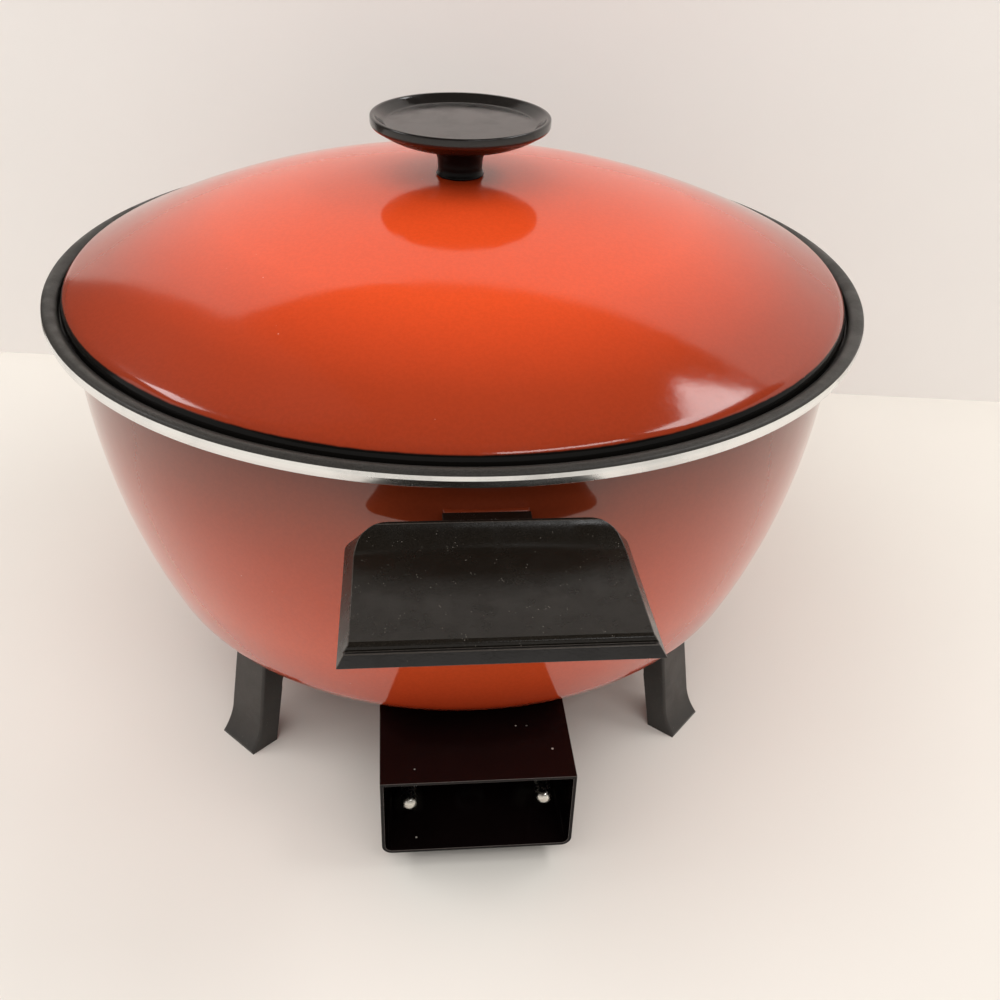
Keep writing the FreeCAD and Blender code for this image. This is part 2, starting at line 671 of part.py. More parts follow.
def add_bracket(label, angle):
    """The steel angle that ties a handle to the bowl's boss."""
    body = new_body(label)
    seat = handle_seat
    outer = bracket_sheet + bracket_bend
    inner_x = boss_face + bracket_sheet
    end = boss_face + bracket_reach
    foot = seat - bracket_drop
    o = Outline(body, "bracket_section", "XZ_Plane")
    o.start(boss_face, foot).line(inner_x, foot)
    o.line(inner_x, seat - outer)
    o.arc(inner_x + bracket_bend, seat - bracket_sheet, bracket_bend, -1)
    o.line(end, seat - bracket_sheet).line(end, seat)
    o.line(boss_face + outer, seat)
    o.arc(boss_face, seat - outer, outer, 1)
    pad(body, o.close(), bracket_width, midplane=True, name="angle")
    o = Outline(body, "screw_face", "XY_Plane", seat)
    o.circle(handle_screw_place, 0, handle_screw_radius + screw_clearance)
    pocket(body, o.sketch, bracket_sheet, name="handle_screw_hole")
    o = Outline(body, "wall_screw_face", "YZ_Plane", inner_x)
    for y in (-bracket_screw_spacing / 2, bracket_screw_spacing / 2):
        o.circle(y, bracket_screw_level, screw_radius + screw_clearance)
    pocket(body, o.sketch, bracket_sheet, name="wall_screw_holes")
    turn_about_axis(body, angle)


def add_leg(label, angle):
    """A moulded leg: arm under the base, curved web, straight shin and flared foot."""
    body = new_body(label)
    arm_under = base_level - leg_arm_thickness
    shoulder = corner_radius + leg_top_gap
    corner_level = base_level + corner_radius
    shoulder_z = corner_level - root(shoulder * shoulder - leg_shoulder * leg_shoulder)
    ankle = leg_face + leg_lean
    rise = shoulder_z - leg_flare_height - leg_toe
    slant = root(rise * rise + leg_lean * leg_lean)
    flare_square = leg_flare * leg_flare + leg_flare_height * leg_flare_height
    flare_curve = flare_square * slant / ((leg_flare * rise - leg_flare_height * leg_lean) * 2)
    o = Outline(body, "leg_profile", "XZ_Plane")
    o.start(leg_arm_start, arm_under).line(leg_inner - leg_web, arm_under)
    o.arc(leg_inner, arm_under - leg_web, leg_web, -1)
    o.line(leg_inner + leg_lean, 0)
    o.line(ankle + leg_flare, 0)
    o.line(ankle + leg_flare, leg_toe)
    o.arc(ankle, leg_flare_height + leg_toe, flare_curve, -1)
    o.line(leg_face, shoulder_z)
    o.arc(base_edge, base_level - leg_top_gap, shoulder, -1)
    o.line(base_edge - leg_seat_inset, base_level)
    o.line(leg_arm_start, base_level)
    pad(body, o.close(), leg_width_foot, midplane=True, name="leg")

    # Flanks taper upward from the foot
    foot, top = leg_width_foot / 2, leg_width_top / 2
    for name, side in (("right_flank", 1), ("left_flank", -1)):
        o = Outline(body, name + "_face", "YZ_Plane")
        outer_edge = foot + leg_width_foot
        o.start(foot * side, 0).line(outer_edge * side, 0).line(outer_edge * side, corner_level)
        o.line(top * side, corner_level)
        pocket(body, o.close(), midplane=True, name=name)

    def outer_edges(edge):
        upright = edge.BoundBox.ZLength > leg_flare_height.value / 2
        return upright and edge.BoundBox.XMin > leg_face.value - touch

    fillet(body, leg_edge, outer_edges, "edges")
    o = Outline(body, "screw_face", "XY_Plane", arm_under)
    o.circle(leg_screw_place, 0, screw_radius + screw_clearance)
    pocket(body, o.sketch, leg_arm_thickness, reverse=True, name="screw_hole")
    turn_about_axis(body, angle)


def add_element():
    """The sheathed element: an open loop whose two legs slope down to the socket."""
    feature = document.addObject("Part::Feature", "heating_element")
    feature.Label = "heating_element"
    document.recompute()

    def read(length):
        return float(feature.evalExpression(length.text))

    radius, ring, bend = read(element_radius), read(element_ring), read(element_bend)
    side, seat = read(pin_spacing / 2), read(element_seat)
    top, low = read(element_level), read(pin_level)
    slope = math.radians(read(element_slope))
    centre = FreeCAD.Vector(side + bend, 0, top)
    centre.y = -math.sqrt((ring + bend) ** 2 - centre.x**2)
    on_ring = FreeCAD.Vector(centre.x, centre.y, 0) * (ring / (ring + bend))
    on_ring.z = top
    straight = FreeCAD.Vector(side, centre.y, top)
    halfway = (straight + on_ring) / 2 - centre
    halfway = centre + halfway.normalize() * bend
    run = bend * math.sin(slope)
    fall = bend * (1 - math.cos(slope))
    ramp = (top - low - 2 * fall) / math.tan(slope)
    end = FreeCAD.Vector(side, -read(insulator_back), low)
    level = FreeCAD.Vector(side, end.y + seat, low)
    second = FreeCAD.Vector(side, level.y + run, low + fall)
    first = FreeCAD.Vector(side, second.y + ramp, top - fall)
    down = FreeCAD.Vector(side, first.y + run, top)
    half_run = bend * math.sin(slope / 2)
    half_fall = bend * (1 - math.cos(slope / 2))
    bend_top = FreeCAD.Vector(side, down.y - half_run, top - half_fall)
    bend_low = FreeCAD.Vector(side, level.y + half_run, low + half_fall)

    def across(point):
        return FreeCAD.Vector(-point.x, point.y, point.z)

    def leg(flip):
        points = [flip(p) for p in (end, level, bend_low, second, first, bend_top, down)]
        a, b, c, d, e, f, g = points
        arc_in = Part.Arc(flip(straight), flip(halfway), flip(on_ring)).toShape()
        low_arc, top_arc = Part.Arc(b, c, d).toShape(), Part.Arc(e, f, g).toShape()
        ramp_line, lead = Part.makeLine(d, e), Part.makeLine(g, flip(straight))
        return [Part.makeLine(a, b), low_arc, ramp_line, top_arc, lead, arc_in]

    def same(point):
        return point

    rear = FreeCAD.Vector(0, ring, top)
    loop = Part.Arc(on_ring, rear, across(on_ring)).toShape()
    path = Part.Wire(leg(same) + [loop] + leg(across)[::-1])
    section = Part.Wire(Part.Circle(end, FreeCAD.Vector(0, 1, 0), radius).toShape())
    feature.Shape = path.makePipeShell([section], True, False)
    part_objects["heating_element"] = feature


def add_clip(label, angle):
    """A strap that holds the element's loop up to the base."""
    body = new_body(label)
    inner = element_radius + clip_gap
    outer = inner + clip_sheet
    near, far = element_ring - outer, element_ring + outer
    under = base_level - clip_sheet
    o = Outline(body, "clip_section", "XZ_Plane")
    o.start(near - clip_foot, base_level).line(near - clip_foot, under).line(near, under)
    o.line(near, element_level).arc(far, element_level, outer, 1)
    o.line(far, base_level).line(far - clip_sheet, base_level)
    o.line(far - clip_sheet, element_level)
    o.arc(near + clip_sheet, element_level, inner, -1)
    o.line(near + clip_sheet, base_level)
    pad(body, o.close(), clip_width, midplane=True, name="strap")
    o = Outline(body, "screw_face", "XY_Plane", under)
    o.circle(clip_screw_reach(), 0, screw_radius + screw_clearance)
    pocket(body, o.sketch, clip_sheet, reverse=True, name="screw_hole")
    turn_about_axis(body, angle)


def add_hood():
    """The open-ended sheet hood that shields the terminal pins, and its terminal plate."""
    half = hood_width / 2
    top = base_level
    bottom = hood_clearance

    def channel(outline, inset, bend):
        side, low, high = half - inset, bottom + inset, top - inset
        outline.start(-side + bend, low).line(side - bend, low)
        outline.arc(side, low + bend, bend, 1)
        outline.line(side, high).line(-side, high).line(-side, low + bend)
        outline.arc(-side + bend, low, bend, 1)
        return outline.close()

    inner_bend = hood_bend - hood_sheet
    body = new_body("probe_guard")
    o = Outline(body, "hood_section", "XZ_Plane", hood_back)
    channel(o, nought, hood_bend)
    pad(body, channel(o, hood_sheet, inner_bend), hood_length, name="hood")
    o = Outline(body, "screw_face", "XY_Plane", base_level - hood_sheet)
    for x, y in hood_screw_places():
        o.circle(x, y, screw_radius + screw_clearance)
    pocket(body, o.sketch, hood_sheet, reverse=True, name="screw_holes")

    body = new_body("terminal_plate")
    o = Outline(body, "plate_face", "XZ_Plane", plate_back)
    channel(o, hood_sheet, inner_bend)
    for x in (-pin_spacing / 2, pin_spacing / 2):
        o.circle(x, pin_level, insulator_radius + seat_gap)
    o.circle(0, pin_level, sensor_bore + sensor_wall + seat_gap)
    pad(body, o.sketch, plate_thickness, name="plate")


def add_terminal(side_name, side):
    """One terminal pin and the ceramic insulator that carries it through the plate."""
    x = pin_spacing / 2 * side
    bore = pin_shank + seat_gap
    body = new_body(f"insulator_{side_name}")
    o = Outline(body, "flange_face", "XZ_Plane", insulator_back)
    o.circle(x, pin_level, insulator_flange).circle(x, pin_level, bore)
    pad(body, o.sketch, insulator_depth, name="flange")
    o = Outline(body, "barrel_face", "XZ_Plane", plate_back)
    o.circle(x, pin_level, insulator_radius).circle(x, pin_level, bore)
    pad(body, o.sketch, insulator_front - plate_back, name="barrel")

    body = new_body(f"terminal_pin_{side_name}")
    shoulder = insulator_front + pin_relief
    o = Outline(body, "shank_face", "XZ_Plane", insulator_back)
    o.circle(x, pin_level, pin_shank)
    pad(body, o.sketch, shoulder - insulator_back, name="shank")
    o = Outline(body, "pin_face", "XZ_Plane", shoulder)
    o.circle(x, pin_level, pin_radius)
    pad(body, o.sketch, pin_tip - shoulder, name="pin")
    tip = -pin_tip.value
    fillet(body, pin_nose, lambda edge: edge.BoundBox.YMax < tip + touch, "nose")


def add_sensor():
    """The blind tube for the control's probe, and the block that ties it to the base."""
    outer = sensor_bore + sensor_wall
    back = plate_face + sensor_nose - sensor_length
    body = new_body("sensor_tube")
    o = Outline(body, "tube_face", "XZ_Plane", back)
    o.circle(0, pin_level, outer)
    pad(body, o.sketch, sensor_length, name="tube")
    o = Outline(body, "bore_face", "XZ_Plane", back + sensor_length)
    o.circle(0, pin_level, sensor_bore)
    pocket(body, o.sketch, sensor_length - sensor_wall, name="bore")

    body = new_body("sensor_block")
    block_back = back - block_overrun
    o = Outline(body, "block_face", "XZ_Plane", block_back)
    half = block_width / 2
    o.start(-half, pin_level - outer - block_under + block_bevel)
    o.line(-half + block_bevel, pin_level - outer - block_under)
    o.line(half - block_bevel, pin_level - outer - block_under)
    o.line(half, pin_level - outer - block_under + block_bevel)
    o.line(half, base_level).line(-half, base_level).close()
    o.circle(0, pin_level, outer + seat_gap)
    pad(body, o.sketch, block_length, name="block")


def screw_group(label, places, head_under, tip, radius):
    """A node of identical upright screws, heads down, as separate solids."""
    group = document.addObject("Part::Compound", label)
    group.Label = label
    screws = []
    for number, (x, y) in enumerate(places, 1):
        pieces = []
        for kind, low, high, wide in (
            ("head", head_under - head_height, head_under, head_radius),
            ("shank", head_under - head_height / 2, tip, radius),
        ):
            rod = document.addObject("Part::Cylinder", f"{label}_{kind}_{number}")
            rod.setExpression("Radius", wide.text)
            rod.setExpression("Height", (high - low).text)
            rod.setExpression("Placement.Base.x", as_size(x).text)
            rod.setExpression("Placement.Base.y", as_size(y).text)
            rod.setExpression("Placement.Base.z", low.text)
            pieces.append(rod)
        screw = document.addObject("Part::MultiFuse", f"{label}_screw_{number}")
        screw.Shapes = pieces
        screws.append(screw)
    group.Links = screws
    part_objects[label] = group


def wall_screw_group(label):
    """The four bracket screws, which lie along Y, heads outward."""
    group = document.addObject("Part::Compound", label)
    group.Label = label
    head_in = boss_face + bracket_sheet
    screws = []
    for number, (x_side, y_side) in enumerate(((1, -1), (-1, -1), (1, 1), (-1, 1)), 1):
        pieces = []
        for kind, low, high, wide in (
            ("head", head_in, head_in + head_height, head_radius),
            ("shank", boss_face - boss_bite + thread_run, head_in + head_height / 2, screw_radius),
        ):
            rod = document.addObject("Part::Cylinder", f"{label}_{kind}_{number}")
            tilt = FreeCAD.Rotation(FreeCAD.Vector(1, 0, 0), -90 * y_side)
            rod.Placement = FreeCAD.Placement(FreeCAD.Vector(0, 0, 0), tilt)
            rod.setExpression("Radius", wide.text)
            rod.setExpression("Height", (high - low).text)
            rod.setExpression("Placement.Base.x", (bracket_screw_spacing / 2 * x_side).text)
            rod.setExpression("Placement.Base.y", (low * y_side).text)
            rod.setExpression("Placement.Base.z", bracket_screw_level.text)
            pieces.append(rod)
        screw = document.addObject("Part::MultiFuse", f"{label}_screw_{number}")
        screw.Shapes = pieces
        screws.append(screw)
    group.Links = screws
    part_objects[label] = group


def check_and_write():
    """Refuse failed or invalid objects, then write one file for each sub-part."""
    document.recompute()
    failed = [o.Label for o in document.Objects if {"Invalid", "Error"} & set(o.State)]
    if failed:
        raise ValueError(f"failed objects: {failed}")
    for label, thing in part_objects.items():
        if thing.Shape.isNull() or not thing.Shape.isValid():
            raise ValueError(f"{label}: no valid shape")
    for label, thing in part_objects.items():
        thing.Shape.exportStep(f"parts/{label}.step")
        print(label, len(thing.Shape.Solids), round(thing.Shape.Volume, 1))


add_bowl()
add_lid()
add_knob()
add_handle("handle_front", front_angle)
add_handle("handle_rear", rear_angle)
add_bracket("handle_bracket_front", front_angle)
add_bracket("handle_bracket_rear", rear_angle)
wall_screw_group("bracket_screws")
screw_group(
    "handle_screws",
    [(nought, -handle_screw_place), (nought, handle_screw_place)],
    handle_seat - bracket_sheet,
    handle_seat + handle_screw_bite - thread_run,
    handle_screw_radius,
)
add_leg("leg_front_right", front_angle + leg_angle)
add_leg("leg_front_left", front_angle - leg_angle)
add_leg("leg_rear_right", rear_angle - leg_angle)
add_leg("leg_rear_left", rear_angle + leg_angle)
base_tip = base_level + screw_bite - thread_run
screw_group("leg_screws", leg_screw_places(), base_level - leg_arm_thickness, base_tip, screw_radius)
add_element()
add_clip("element_clip_right", nought)
add_clip("element_clip_left", Size(180, "180"))
add_clip("element_clip_rear", rear_angle)
screw_group("clip_screws", clip_screw_places(), base_level - clip_sheet, base_tip, screw_radius)
add_hood()
screw_group("guard_screws", hood_screw_places(), base_level - hood_sheet, base_tip, screw_radius)
add_terminal("left", -1)
add_terminal("right", 1)
add_sensor()
check_and_write()
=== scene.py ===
import math

import bmesh
import bpy
from mathutils import Matrix, Vector


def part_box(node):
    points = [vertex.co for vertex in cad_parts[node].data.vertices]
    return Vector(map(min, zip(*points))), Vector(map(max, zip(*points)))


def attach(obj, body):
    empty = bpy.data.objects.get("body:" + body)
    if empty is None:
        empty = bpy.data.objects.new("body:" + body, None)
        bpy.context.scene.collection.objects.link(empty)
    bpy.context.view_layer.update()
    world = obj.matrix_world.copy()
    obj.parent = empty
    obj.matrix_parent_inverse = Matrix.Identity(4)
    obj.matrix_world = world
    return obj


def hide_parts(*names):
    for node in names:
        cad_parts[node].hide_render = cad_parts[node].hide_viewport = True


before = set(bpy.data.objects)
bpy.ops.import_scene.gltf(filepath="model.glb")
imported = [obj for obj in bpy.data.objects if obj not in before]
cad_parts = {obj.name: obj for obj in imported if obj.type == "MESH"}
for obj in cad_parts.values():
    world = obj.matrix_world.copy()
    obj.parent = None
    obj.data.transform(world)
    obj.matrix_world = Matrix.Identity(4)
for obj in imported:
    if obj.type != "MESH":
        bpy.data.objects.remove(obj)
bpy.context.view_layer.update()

# The bowl, in metres, with its levels read from the frame where it has them
RIM_RADIUS = 0.130
RIM_LEVEL = 0.140
BASE_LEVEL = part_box("pan_bowl")[0][2]
BASE_THICKNESS = 0.005
FLOOR_LEVEL = BASE_LEVEL + BASE_THICKNESS
BOWL_RADIUS = 0.122
BOWL_THICKNESS = 0.003
BOWL_CURVE = 0.223
BOWL_TOP = RIM_LEVEL - 0.010
CORNER_RADIUS = 0.016
RECESS_RADIUS = 0.125
LEDGE_THICKNESS = 0.003

# The lid, whose dome is the arc that meets the rolled edge and reaches the top
LEDGE_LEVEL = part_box("lid_shell")[0][2]
LID_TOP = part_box("lid_shell")[1][2]
LID_RADIUS = 0.1244
LID_ROLL = 0.006
LID_SHEET = 0.0016
LID_ROLL_LEVEL = LEDGE_LEVEL + 0.0009
LID_RISE = LID_TOP - LID_ROLL_LEVEL
LID_CURVE = ((LID_RADIUS - LID_ROLL)**2 + LID_RISE**2 - LID_ROLL**2) / (2 * (LID_RISE - LID_ROLL))
# Level below which the lid's edge is painted near-black: painted shade of the gap between lid and flange
LID_GAP_SHADE_LEVEL = RIM_LEVEL + 0.0031

# The bosses for the handle brackets
BOSS_HALF_WIDTH = 0.0105
BOSS_DROP = 0.0134
BOSS_HEIGHT = 0.024
BOSS_SPREAD = 0.0008

# The terminal pins and the step in the handles
PIN_SIDE = 0.0201
PIN_LEVEL = 0.022
PIN_SHANK_RADIUS = 0.0020
PIN_SHOULDER_REACH = 0.0955
HANDLE_STEP = 0.1690

SHARP_EDGE = 0.0003
TURN_STEPS = 256

# Camera, fitted to the photograph: focal length in pixels of a frame 1000 pixels wide
FOCAL_PIXELS = 1132.7
FRAME_PIXELS = 1000.0
CAMERA_DISTANCE = 0.3544
CAMERA_LEVEL = 0.2812
CAMERA_AZIMUTH = math.radians(3.6)
CAMERA_HEADING = math.radians(6.28)
CAMERA_PITCH = math.radians(33.04)
CAMERA_ROLL = math.radians(2.23)

# The stage: a wall behind the object, wide floor, and dark sheets above and at the left, seen only in
# reflections as painted dark reflections of the room
BACKDROP_DISTANCE = 0.2037
BACKDROP_SLOPE = -0.1348
BACKDROP_LEFT = -0.27
BACKDROP_RIGHT = 1.1
BACKDROP_HEIGHT = 0.49
FLOOR_REACH = 5
FLAG_LEVEL = 1.6


class Profile:
    """Points of a section in radius and height, each stretch with its own finish."""

    def __init__(self, x, z):
        self.points = [(x, z)]
        self.finishes = []

    def line(self, x, z, finish=0, steps=1):
        x0, z0 = self.points[-1]
        for i in range(1, steps + 1):
            self.points.append((x0 + (x - x0) * i / steps, z0 + (z - z0) * i / steps))
            self.finishes.append(finish)
        return self

    def arc(self, x, z, radius, turn, finish=0, steps=8):
        """An arc to (x, z). turn is 1 when it runs anticlockwise and -1 when clockwise."""
        x0, z0 = self.points[-1]
        half = math.hypot(x - x0, z - z0) / 2
        rise = math.sqrt(max(radius**2 - half**2, 0))
        cx = (x0 + x) / 2 - turn * (z - z0) / (2 * half) * rise
        cz = (z0 + z) / 2 + turn * (x - x0) / (2 * half) * rise
        begin = math.atan2(z0 - cz, x0 - cx)
        swing = (math.atan2(z - cz, x - cx) - begin) % (2 * math.pi)
        if turn < 0:
            swing -= 2 * math.pi
        for i in range(1, steps + 1):
            angle = begin + swing * i / steps
            self.points.append((cx + radius * math.cos(angle), cz + radius * math.sin(angle)))
            self.finishes.append(finish)
        return self


def link(name, data):
    """A new object in the scene."""
    made = bpy.data.objects.new(name, data)
    bpy.context.scene.collection.objects.link(made)
    return made


def new_piece(name, mesh, body, slot, *replaced):
    """Put a mesh in the scene as a piece that rides on a body."""
    piece = link(name, mesh)
    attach(piece, body)
    if replaced:
        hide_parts(*replaced)
    return piece


def to_mesh(bm, name, materials=()):
    """Turn an edit mesh into a smooth mesh with its faces outward."""
    bmesh.ops.recalc_face_normals(bm, faces=bm.faces)
    mesh = bpy.data.meshes.new(name)
    bm.to_mesh(mesh)
    bm.free()
    mesh.shade_smooth()
    for material in materials:
        mesh.materials.append(material)
    return mesh


def revolved(name, profile, materials, steps=TURN_STEPS, matrix=None):
    """A mesh turned about Z from a profile whose ends may lie on the axis."""
    on_axis = 1e-7
    bm = bmesh.new()
    rings = []
    for x, z in profile.points:
        if x < on_axis:
            rings.append([bm.verts.new((0, 0, z))])
            continue
        ring = []
        for i in range(steps):
            angle = 2 * math.pi * i / steps
            ring.append(bm.verts.new((x * math.cos(angle), x * math.sin(angle), z)))
        rings.append(ring)
    for low, high, finish in zip(rings, rings[1:], profile.finishes):
        for i in range(steps):
            j = (i + 1) % steps
            corners = [low[i % len(low)], low[j % len(low)], high[j % len(high)], high[i % len(high)]]
            corners = list(dict.fromkeys(corners))
            if len(corners) > 2:
                bm.faces.new(corners).material_index = finish
    if matrix:
        bm.transform(matrix)
    return to_mesh(bm, name, materials)


def soften(piece, width, edge_highlight_finish=0):
    """Round the sharp edges of a piece by a small bevel and keep its flat faces flat. The bevel faces
    take the finish whose index is given; a lighter finish there is a painted highlight along the edges.
    """
    bevel = piece.modifiers.new("edge_rounding", "BEVEL")
    bevel.width = width
    bevel.segments = 3
    bevel.limit_method = "ANGLE"
    bevel.angle_limit = math.radians(30)
    bevel.use_clamp_overlap = True
    bevel.material = edge_highlight_finish
    normals = piece.modifiers.new("face_weights", "WEIGHTED_NORMAL")
    normals.keep_sharp = True
    normals.weight = 80
    return piece


def cad_copy(node, name, materials):
    """The node's own mesh with its flat faces whole again, ready for rounding."""
    bm = bmesh.new()
    bm.from_mesh(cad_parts[node].data)
    bmesh.ops.remove_doubles(bm, verts=bm.verts, dist=2e-6)
    flat = math.radians(0.3)
    bmesh.ops.dissolve_limit(bm, angle_limit=flat, verts=bm.verts, edges=bm.edges)
    return to_mesh(bm, name, materials)


class Surface:
    """A node material. Places on it are the object's own coordinates, in metres."""

    def __init__(self, name, **sockets):
        self.material = bpy.data.materials.new(name)
        self.material.use_nodes = True
        self.tree = self.material.node_tree
        self.tree.nodes.clear()
        self.shader = self.tree.nodes.new("ShaderNodeBsdfPrincipled")
        self.output = self.tree.nodes.new("ShaderNodeOutputMaterial")
        self.tree.links.new(self.shader.outputs["BSDF"], self.output.inputs["Surface"])
        self.place = self.tree.nodes.new("ShaderNodeTexCoord").outputs["Object"]
        for key, value in sockets.items():
            socket = key.replace("_", " ").title().replace("Ior", "IOR")
            self.shader.inputs[socket].default_value = value

    def node(self, kind, inputs=None, **settings):
        node = self.tree.nodes.new("ShaderNode" + kind)
        for key, value in settings.items():
            setattr(node, key, value)
        for key, value in (inputs or {}).items():
            if isinstance(value, bpy.types.NodeSocket):
                self.tree.links.new(value, node.inputs[key])
            else:
                node.inputs[key].default_value = value
        return node

    def set(self, socket, value):
        self.tree.links.new(value, self.shader.inputs[socket])

    def noise(self, scale, detail=2.0, roughness=0.5, place=None):
        inputs = {"Vector": place or self.place, "Scale": scale, "Detail": detail, "Roughness": roughness}
        return self.node("TexNoise", inputs).outputs["Fac"]

    def specks(self, scale, size):
        """1 in small round specks and 0 between them."""
        cells = self.node("TexVoronoi", {"Vector": self.place, "Scale": scale})
        return self.between(cells.outputs["Distance"], size, size * 0.6)

    def scratches(self, scale, thin, stretch, turn):
        """Fine streaks along one direction, 1 in the streak."""
        turned = self.node("Mapping", {"Vector": self.place, "Rotation": turn, "Scale": stretch})
        wave = self.noise(scale, 1.0, 0.5, turned.outputs["Vector"])
        middle = self.math("ABSOLUTE", self.math("SUBTRACT", wave, 0.5))
        return self.between(middle, thin, 0.0)

    def math(self, operation, a, b=0.0, clamp=False):
        return self.node("Math", {0: a, 1: b}, operation=operation, use_clamp=clamp).outputs[0]

    def between(self, value, low, high, to_low=0.0, to_high=1.0):
        """Map low..high smoothly to to_low..to_high and clamp beyond them."""
        inputs = {"Value": value, "From Min": low, "From Max": high, "To Min": to_low, "To Max": to_high}
        node = self.node("MapRange", inputs, interpolation_type="SMOOTHSTEP")
        return node.outputs["Result"]

    def mix(self, amount, a, b):
        node = self.node("Mix", data_type="RGBA")
        for socket, value in ((node.inputs[0], amount), (node.inputs[6], a), (node.inputs[7], b)):
            if isinstance(value, bpy.types.NodeSocket):
                self.tree.links.new(value, socket)
            elif socket is node.inputs[0]:
                socket.default_value = value
            else:
                socket.default_value = (*value, 1.0)
        return node.outputs[2]

    def ramp(self, value, stops):
        node = self.node("ValToRGB", {"Fac": value})
        elements = node.color_ramp.elements
        while len(elements) < len(stops):
            elements.new(0.5)
        for element, (position, color) in zip(elements, stops):
            element.position = position
            element.color = (*color, 1.0)
        return node.outputs["Color"]

    def bump(self, height, distance, strength=1.0, normal=None):
        inputs = {"Height": height, "Distance": distance, "Strength": strength}
        node = self.node("Bump", inputs)
        if normal is not None:
            self.tree.links.new(normal, node.inputs["Normal"])
        return node.outputs["Normal"]

    def radius(self):
        """Distance from the bowl's axis."""
        parts = self.node("SeparateXYZ", {"Vector": self.place})
        squares = self.math("ADD", self.math("POWER", parts.outputs["X"], 2.0),
                            self.math("POWER", parts.outputs["Y"], 2.0))
        return self.math("SQRT", squares)

    def height(self):
        return self.node("SeparateXYZ", {"Vector": self.place}).outputs["Z"]

    def shift(self, value, amount, scale=12.0):
        """Add slow noise of the given amount to a value."""
        drift = self.math("MULTIPLY", self.math("SUBTRACT", self.noise(scale, 3.0, 0.6), 0.5), amount)
        return self.math("ADD", value, drift)


def enamel(name, value, stops, low, high, drift, edge=None, coat=0.0):
    """Fired enamel: a colour that fades with a place on the piece, under a smooth gloss. Below the edge
    level, when one is given, it is painted near-black with a weak gloss: painted shade of the gap under
    the lid's edge.
    """
    s = Surface(name, specular_ior_level=0.5, coat_weight=coat, coat_roughness=0.08)
    where = s.math("SUBTRACT", s.shift(value(s), drift), low)
    color = s.ramp(s.math("MULTIPLY", where, 1 / (high - low)), stops)
    mottled = s.between(s.noise(900.0, 2.0, 0.7), 0.35, 0.65, 0.965, 1.035)
    color = s.node("HueSaturation", {"Color": color, "Value": mottled}).outputs["Color"]
    if edge:
        # Painted shade: below the edge level the colour turns near-black and the gloss weakens, standing
        # for the shadowed gap under the lid's edge
        gap_shade = s.between(s.shift(s.height(), 0.0004, 160.0), edge, edge + 0.0005, 1.0, 0.0)
        color = s.mix(gap_shade, color, (0.004, 0.0035, 0.003))
        s.set("Specular IOR Level", s.between(gap_shade, 0.0, 1.0, 0.5, 0.12))
    chance = s.between(s.noise(45.0, 1.0), 0.62, 0.66)
    pale = s.math("MULTIPLY", s.math("MULTIPLY", s.specks(260.0, 0.06), chance), 0.4)
    s.set("Base Color", s.mix(pale, color, (0.75, 0.6, 0.5)))
    smear = s.between(s.noise(18.0, 4.0, 0.6), 0.35, 0.75, 0.07, 0.15)
    s.set("Roughness", s.math("ADD", smear, s.between(s.noise(700.0, 2.0), 0.55, 0.75, 0.0, 0.05)))
    ripple = s.bump(s.noise(190.0, 2.0, 0.5), 0.00005, 0.4)
    s.set("Normal", s.bump(s.noise(1400.0, 1.0), 0.00001, 0.5, ripple))
    return s.material


def lid_enamel():
    stops = [
        (0.00, (0.630, 0.060, 0.013)),
        (0.60, (0.630, 0.062, 0.013)),
        (0.74, (0.480, 0.047, 0.011)),
        (0.87, (0.320, 0.034, 0.009)),
        (1.00, (0.240, 0.027, 0.008)),
    ]
    return enamel("lid_enamel", Surface.radius, stops, 0.0, LID_RADIUS, 0.006, LID_GAP_SHADE_LEVEL)


def bowl_enamel():
    stops = [
        (0.00, (0.420, 0.040, 0.011)),
        (0.30, (0.560, 0.068, 0.018)),
        (0.60, (0.400, 0.052, 0.017)),
        (0.85, (0.215, 0.033, 0.011)),
        (1.00, (0.160, 0.025, 0.008)),
    ]
    return enamel("bowl_enamel", Surface.height, stops, BASE_LEVEL, RIM_LEVEL - 0.004, 0.010, coat=0.4)


def non_stick():
    """Dark lining, satin, with fine grain and a few rubbed places."""
    s = Surface("non_stick_lining", specular_ior_level=0.35)
    grain = s.noise(2600.0, 2.0, 0.7)
    color = s.mix(s.between(grain, 0.3, 0.7), (0.016, 0.0145, 0.0125), (0.036, 0.032, 0.028))
    worn = s.between(s.noise(60.0, 4.0, 0.7), 0.60, 0.72, 0.0, 0.35)
    s.set("Base Color", s.mix(worn, color, (0.060, 0.055, 0.049)))
    s.set("Roughness", s.between(s.noise(150.0, 3.0), 0.3, 0.7, 0.34, 0.52))
    s.set("Normal", s.bump(grain, 0.00003, 0.6))
    return s.material


def turned_aluminium(name, color, rough):
    """Bare metal with fine marks that run round the axis."""
    s = Surface(name, metallic=1.0)
    parts = s.node("SeparateXYZ", {"Vector": s.place})
    rings = s.node("CombineXYZ", {"X": s.math("MULTIPLY", s.radius(), 9.0),
                                  "Y": s.math("MULTIPLY", parts.outputs["Z"], 9.0), "Z": 0.0})
    lines = s.noise(900.0, 3.0, 0.7, rings.outputs["Vector"])
    blotch = s.noise(40.0, 4.0, 0.6)
    dull = [c * 0.72 for c in color]
    shade = s.math("MULTIPLY", s.between(lines, 0.3, 0.7), 0.5)
    shade = s.math("ADD", shade, s.between(blotch, 0.45, 0.7, 0.0, 0.5), clamp=True)
    s.set("Base Color", s.mix(shade, color, dull))
    s.set("Roughness", s.between(blotch, 0.3, 0.7, rough - 0.06, rough + 0.1))
    nicks = s.math("MULTIPLY", s.specks(420.0, 0.10), s.between(s.noise(80.0), 0.6, 0.65))
    normal = s.bump(lines, 0.00002, 0.6)
    s.set("Normal", s.bump(s.math("SUBTRACT", 1.0, nicks), 0.0001, 0.4, normal))
    return s.material


